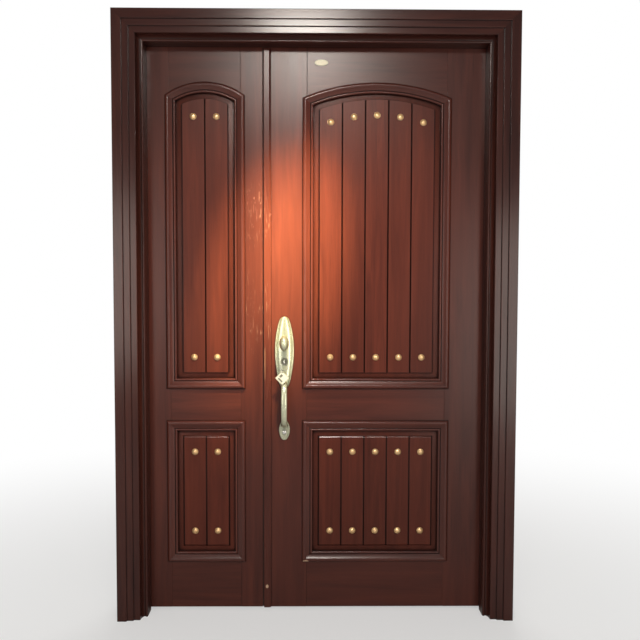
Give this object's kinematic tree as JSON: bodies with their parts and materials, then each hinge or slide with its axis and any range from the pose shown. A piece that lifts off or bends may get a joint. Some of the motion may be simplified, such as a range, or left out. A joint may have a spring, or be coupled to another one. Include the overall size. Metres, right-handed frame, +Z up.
{
  "type": "security door",
  "caption": "Unequal pair of panelled security door leaves in a stepped casing, arch-topped plank panels with domed studs, pull handle and keyed lock, swinging inward on side hinges.",
  "frame": {"origin": "centre of the footprint on the floor line", "axes": "+X to the right seen from outside, +Y into the room, +Z up"},
  "size_m": [1.4, 0.236, 2.125],
  "materials": {
    "frame_lacquer": "dark mahogany wood-grain transfer lacquer on folded steel",
    "casing_wood": "dark mahogany, satin lacquer",
    "seal_rubber": "matt extruded rubber",
    "hinge_steel": "satin nickel plate",
    "leaf_wood": "mahogany, gloss lacquer",
    "moulding_wood": "mahogany, gloss lacquer",
    "plank_wood": "mahogany, gloss lacquer",
    "stud_brass": "aged brass, polished",
    "tray_steel": "primed folded steel sheet",
    "infill_board": "paper honeycomb slab",
    "skin_wood": "mahogany veneer on moulded board, satin lacquer",
    "lock_steel": "zinc plated steel",
    "handle_nickel": "pale champagne nickel plate, satin",
    "tag_plastic": "white card in clear plastic"
  },
  "bodies": {
    "frame": {"left_jamb": "frame_lacquer", "right_jamb": "frame_lacquer", "head_jamb": "frame_lacquer", "left_casing": "casing_wood", "right_casing": "casing_wood", "head_casing": "casing_wood", "inner_casing": "casing_wood", "frame_seal": "seal_rubber", "hinge_frame_plates": "hinge_steel", "hinge_pins": "hinge_steel"},
    "narrow_leaf": {"narrow_hinge_stile": "leaf_wood", "narrow_meeting_stile": "leaf_wood", "narrow_top_rail": "leaf_wood", "narrow_lock_rail": "leaf_wood", "narrow_bottom_rail": "leaf_wood", "narrow_upper_moulding": "moulding_wood", "narrow_lower_moulding": "moulding_wood", "narrow_upper_panel": "plank_wood", "narrow_lower_panel": "plank_wood", "narrow_studs": "stud_brass", "narrow_steel_tray": "tray_steel", "narrow_infill": "infill_board", "narrow_inner_skin": "skin_wood", "narrow_hinge_plates": "hinge_steel", "strike_box": "lock_steel", "bolt_guides": "lock_steel"},
    "wide_leaf": {"wide_hinge_stile": "leaf_wood", "wide_lock_stile": "leaf_wood", "wide_top_rail": "leaf_wood", "wide_lock_rail": "leaf_wood", "wide_bottom_rail": "leaf_wood", "wide_upper_moulding": "moulding_wood", "wide_lower_moulding": "moulding_wood", "wide_upper_panel": "plank_wood", "wide_lower_panel": "plank_wood", "wide_studs": "stud_brass", "wide_steel_tray": "tray_steel", "wide_infill": "infill_board", "wide_inner_skin": "skin_wood", "wide_hinge_plates": "hinge_steel", "meeting_strip": "moulding_wood", "oval_badge": "handle_nickel", "lock_case": "lock_steel", "lock_cylinder": "handle_nickel", "handle_plate": "handle_nickel", "pull_grip": "handle_nickel", "pull_rosette": "handle_nickel", "inner_plate": "handle_nickel"},
    "key_set": {"cylinder_plug": "handle_nickel", "thumb_turn": "handle_nickel", "door_key": "handle_nickel", "key_ring": "handle_nickel", "key_tag": "tag_plastic"},
    "knob_set": {"outer_knob": "handle_nickel", "knob_spindle": "lock_steel", "inner_knob": "handle_nickel"},
    "dead_bolt_bar": {"dead_bolt": "handle_nickel"},
    "latch_bar": {"latch_bolt": "handle_nickel"},
    "top_bar": {"top_bolt": "lock_steel"},
    "bottom_bar": {"bottom_bolt": "lock_steel"}
  },
  "joints": [
    {"name": "narrow_swing", "type": "hinge", "parent": "frame", "child": "narrow_leaf", "pos_m": [-0.614, 0.0635, 1.03], "axis": [0, 0, 1], "range_deg": [0, 110]},
    {"name": "wide_swing", "type": "hinge", "parent": "frame", "child": "wide_leaf", "pos_m": [0.614, 0.0635, 1.03], "axis": [0, 0, -1], "range_deg": [0, 110]},
    {"name": "key_turn", "type": "hinge", "parent": "wide_leaf", "child": "key_set", "pos_m": [-0.1135, 0, 0.912], "axis": [0, 1, 0], "range_deg": [0, 90]},
    {"name": "dead_bolt_throw", "type": "slide", "parent": "wide_leaf", "child": "dead_bolt_bar", "axis": [-1, 0, 0], "range_m": [0, 0.03]},
    {"name": "latch_throw", "type": "slide", "parent": "wide_leaf", "child": "latch_bar", "axis": [-1, 0, 0], "range_m": [0, 0.022]},
    {"name": "knob_turn", "type": "hinge", "parent": "wide_leaf", "child": "knob_set", "pos_m": [-0.1135, 0, 0.98], "axis": [0, -1, 0], "range_deg": [0, 60], "stiffness_Nm_per_rad": 0.6},
    {"name": "top_bolt_slide", "type": "slide", "parent": "narrow_leaf", "child": "top_bar", "axis": [0, 0, 1], "range_m": [0, 0.016]},
    {"name": "bottom_bolt_slide", "type": "slide", "parent": "narrow_leaf", "child": "bottom_bar", "axis": [0, 0, -1], "range_m": [0, 0.01]}
  ],
  "couplings": [
    {"joint": "dead_bolt_throw", "follows": "key_turn", "m_per_rad": 0.019099},
    {"joint": "latch_throw", "follows": "key_turn", "m_per_rad": 0.014006}
  ]
}
